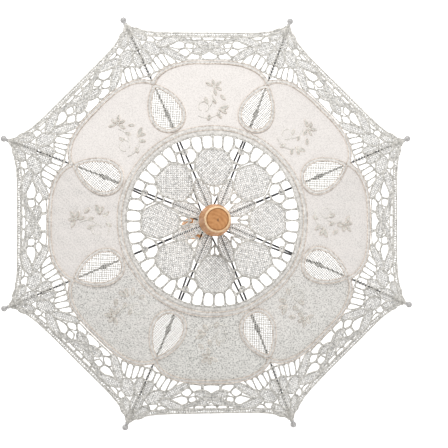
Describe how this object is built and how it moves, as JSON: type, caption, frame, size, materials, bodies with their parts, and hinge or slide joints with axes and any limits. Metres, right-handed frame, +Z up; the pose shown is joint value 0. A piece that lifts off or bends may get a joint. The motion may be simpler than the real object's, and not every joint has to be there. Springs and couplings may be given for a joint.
{
  "type": "lace parasol",
  "caption": "Small folding parasol with a tape-lace and cotton canopy on curved wire ribs, a sliding runner, a wooden shaft, a tapered wooden cap and a turned wooden handle.",
  "frame": {"origin": "centre of the handle's flat foot", "axes": "+Z up the shaft to the cap; the ribs lie at 22.5 degrees from +X and every 45 degrees on; the catch faces +X"},
  "size_m": [0.3754, 0.3754, 0.3702],
  "materials": {
    "shaft_wood": "clear varnish",
    "handle_wood": "clear varnish",
    "cap_wood": "clear varnish",
    "grey_plastic": "moulded",
    "pale_plastic": "moulded",
    "bright_wire": "drawn wire",
    "spring_steel": "drawn strip",
    "dark_steel": "dark enamel",
    "tip_metal": "tumbled satin",
    "lace": "cotton tape lace",
    "cotton": "plain weave cotton"
  },
  "bodies": {
    "shaft": {"shaft": "shaft_wood", "handle": "handle_wood", "top_cap": "cap_wood", "crown": "grey_plastic", "crown_wire": "bright_wire", "crown_washer": "cotton", "crown_pin": "bright_wire", "stop_pin": "bright_wire", "catch_pin": "bright_wire"},
    "runner": {"runner": "pale_plastic", "runner_wire": "bright_wire"},
    "catch": {"open_catch": "spring_steel"},
    "rib_1": {"rib_1": "dark_steel", "rib_tip_1": "tip_metal", "rib_joint_1": "dark_steel", "lace_panel_1": "lace", "cotton_band_1": "cotton"},
    "stretcher_1": {"stretcher_1": "dark_steel"},
    "rib_2": {"rib_2": "dark_steel", "rib_tip_2": "tip_metal", "rib_joint_2": "dark_steel", "lace_panel_2": "lace", "cotton_band_2": "cotton"},
    "stretcher_2": {"stretcher_2": "dark_steel"},
    "rib_3": {"rib_3": "dark_steel", "rib_tip_3": "tip_metal", "rib_joint_3": "dark_steel", "lace_panel_3": "lace", "cotton_band_3": "cotton"},
    "stretcher_3": {"stretcher_3": "dark_steel"},
    "rib_4": {"rib_4": "dark_steel", "rib_tip_4": "tip_metal", "rib_joint_4": "dark_steel", "lace_panel_4": "lace", "cotton_band_4": "cotton"},
    "stretcher_4": {"stretcher_4": "dark_steel"},
    "rib_5": {"rib_5": "dark_steel", "rib_tip_5": "tip_metal", "rib_joint_5": "dark_steel", "lace_panel_5": "lace", "cotton_band_5": "cotton"},
    "stretcher_5": {"stretcher_5": "dark_steel"},
    "rib_6": {"rib_6": "dark_steel", "rib_tip_6": "tip_metal", "rib_joint_6": "dark_steel", "lace_panel_6": "lace", "cotton_band_6": "cotton"},
    "stretcher_6": {"stretcher_6": "dark_steel"},
    "rib_7": {"rib_7": "dark_steel", "rib_tip_7": "tip_metal", "rib_joint_7": "dark_steel", "lace_panel_7": "lace", "cotton_band_7": "cotton"},
    "stretcher_7": {"stretcher_7": "dark_steel"},
    "rib_8": {"rib_8": "dark_steel", "rib_tip_8": "tip_metal", "rib_joint_8": "dark_steel", "lace_panel_8": "lace", "cotton_band_8": "cotton"},
    "stretcher_8": {"stretcher_8": "dark_steel"}
  },
  "joints": [
    {"name": "runner_slide", "type": "slide", "parent": "shaft", "child": "runner", "axis": [0, 0, -1], "range_m": [0, 0.1059], "deforming": ["open_catch", "lace_panel_1", "cotton_band_1", "lace_panel_2", "cotton_band_2", "lace_panel_3", "cotton_band_3", "lace_panel_4", "cotton_band_4", "lace_panel_5", "cotton_band_5", "lace_panel_6", "cotton_band_6", "lace_panel_7", "cotton_band_7", "lace_panel_8", "cotton_band_8"]},
    {"name": "rib_1_pivot", "type": "hinge", "parent": "shaft", "child": "rib_1", "pos_m": [0.00831, 0.00344, 0.336], "axis": [-0.3827, 0.9239, 0], "range_deg": [0, 59.28]},
    {"name": "stretcher_1_pivot", "type": "hinge", "parent": "rib_1", "child": "stretcher_1", "pos_m": [0.09376, 0.03884, 0.30749], "axis": [0.3827, -0.9239, 0], "range_deg": [0, 98.5]},
    {"name": "rib_2_pivot", "type": "hinge", "parent": "shaft", "child": "rib_2", "pos_m": [0.00344, 0.00831, 0.336], "axis": [-0.9239, 0.3827, 0], "range_deg": [0, 59.28]},
    {"name": "stretcher_2_pivot", "type": "hinge", "parent": "rib_2", "child": "stretcher_2", "pos_m": [0.03884, 0.09376, 0.30749], "axis": [0.9239, -0.3827, 0], "range_deg": [0, 98.5]},
    {"name": "rib_3_pivot", "type": "hinge", "parent": "shaft", "child": "rib_3", "pos_m": [-0.00344, 0.00831, 0.336], "axis": [-0.9239, -0.3827, 0], "range_deg": [0, 59.28]},
    {"name": "stretcher_3_pivot", "type": "hinge", "parent": "rib_3", "child": "stretcher_3", "pos_m": [-0.03884, 0.09376, 0.30749], "axis": [0.9239, 0.3827, 0], "range_deg": [0, 98.5]},
    {"name": "rib_4_pivot", "type": "hinge", "parent": "shaft", "child": "rib_4", "pos_m": [-0.00831, 0.00344, 0.336], "axis": [-0.3827, -0.9239, 0], "range_deg": [0, 59.28]},
    {"name": "stretcher_4_pivot", "type": "hinge", "parent": "rib_4", "child": "stretcher_4", "pos_m": [-0.09376, 0.03884, 0.30749], "axis": [0.3827, 0.9239, 0], "range_deg": [0, 98.5]},
    {"name": "rib_5_pivot", "type": "hinge", "parent": "shaft", "child": "rib_5", "pos_m": [-0.00831, -0.00344, 0.336], "axis": [0.3827, -0.9239, 0], "range_deg": [0, 59.28]},
    {"name": "stretcher_5_pivot", "type": "hinge", "parent": "rib_5", "child": "stretcher_5", "pos_m": [-0.09376, -0.03884, 0.30749], "axis": [-0.3827, 0.9239, 0], "range_deg": [0, 98.5]},
    {"name": "rib_6_pivot", "type": "hinge", "parent": "shaft", "child": "rib_6", "pos_m": [-0.00344, -0.00831, 0.336], "axis": [0.9239, -0.3827, 0], "range_deg": [0, 59.28]},
    {"name": "stretcher_6_pivot", "type": "hinge", "parent": "rib_6", "child": "stretcher_6", "pos_m": [-0.03884, -0.09376, 0.30749], "axis": [-0.9239, 0.3827, 0], "range_deg": [0, 98.5]},
    {"name": "rib_7_pivot", "type": "hinge", "parent": "shaft", "child": "rib_7", "pos_m": [0.00344, -0.00831, 0.336], "axis": [0.9239, 0.3827, 0], "range_deg": [0, 59.28]},
    {"name": "stretcher_7_pivot", "type": "hinge", "parent": "rib_7", "child": "stretcher_7", "pos_m": [0.03884, -0.09376, 0.30749], "axis": [-0.9239, -0.3827, 0], "range_deg": [0, 98.5]},
    {"name": "rib_8_pivot", "type": "hinge", "parent": "shaft", "child": "rib_8", "pos_m": [0.00831, -0.00344, 0.336], "axis": [0.3827, 0.9239, 0], "range_deg": [0, 59.28]},
    {"name": "stretcher_8_pivot", "type": "hinge", "parent": "rib_8", "child": "stretcher_8", "pos_m": [0.09376, -0.03884, 0.30749], "axis": [-0.3827, -0.9239, 0], "range_deg": [0, 98.5]},
    {"name": "catch_press", "type": "hinge", "parent": "shaft", "child": "catch", "pos_m": [0.0024, 0, 0.17893], "axis": [0, -1, 0], "range_deg": [0, 6.5], "stiffness_Nm_per_rad": 0.05}
  ],
  "couplings": [
    {"joint": "rib_1_pivot", "follows": "runner_slide", "rad_per_m": 9.7673},
    {"joint": "stretcher_1_pivot", "follows": "runner_slide", "rad_per_m": 16.232},
    {"joint": "rib_2_pivot", "follows": "runner_slide", "rad_per_m": 9.7673},
    {"joint": "stretcher_2_pivot", "follows": "runner_slide", "rad_per_m": 16.232},
    {"joint": "rib_3_pivot", "follows": "runner_slide", "rad_per_m": 9.7673},
    {"joint": "stretcher_3_pivot", "follows": "runner_slide", "rad_per_m": 16.232},
    {"joint": "rib_4_pivot", "follows": "runner_slide", "rad_per_m": 9.7673},
    {"joint": "stretcher_4_pivot", "follows": "runner_slide", "rad_per_m": 16.232},
    {"joint": "rib_5_pivot", "follows": "runner_slide", "rad_per_m": 9.7673},
    {"joint": "stretcher_5_pivot", "follows": "runner_slide", "rad_per_m": 16.232},
    {"joint": "rib_6_pivot", "follows": "runner_slide", "rad_per_m": 9.7673},
    {"joint": "stretcher_6_pivot", "follows": "runner_slide", "rad_per_m": 16.232},
    {"joint": "rib_7_pivot", "follows": "runner_slide", "rad_per_m": 9.7673},
    {"joint": "stretcher_7_pivot", "follows": "runner_slide", "rad_per_m": 16.232},
    {"joint": "rib_8_pivot", "follows": "runner_slide", "rad_per_m": 9.7673},
    {"joint": "stretcher_8_pivot", "follows": "runner_slide", "rad_per_m": 16.232}
  ]
}
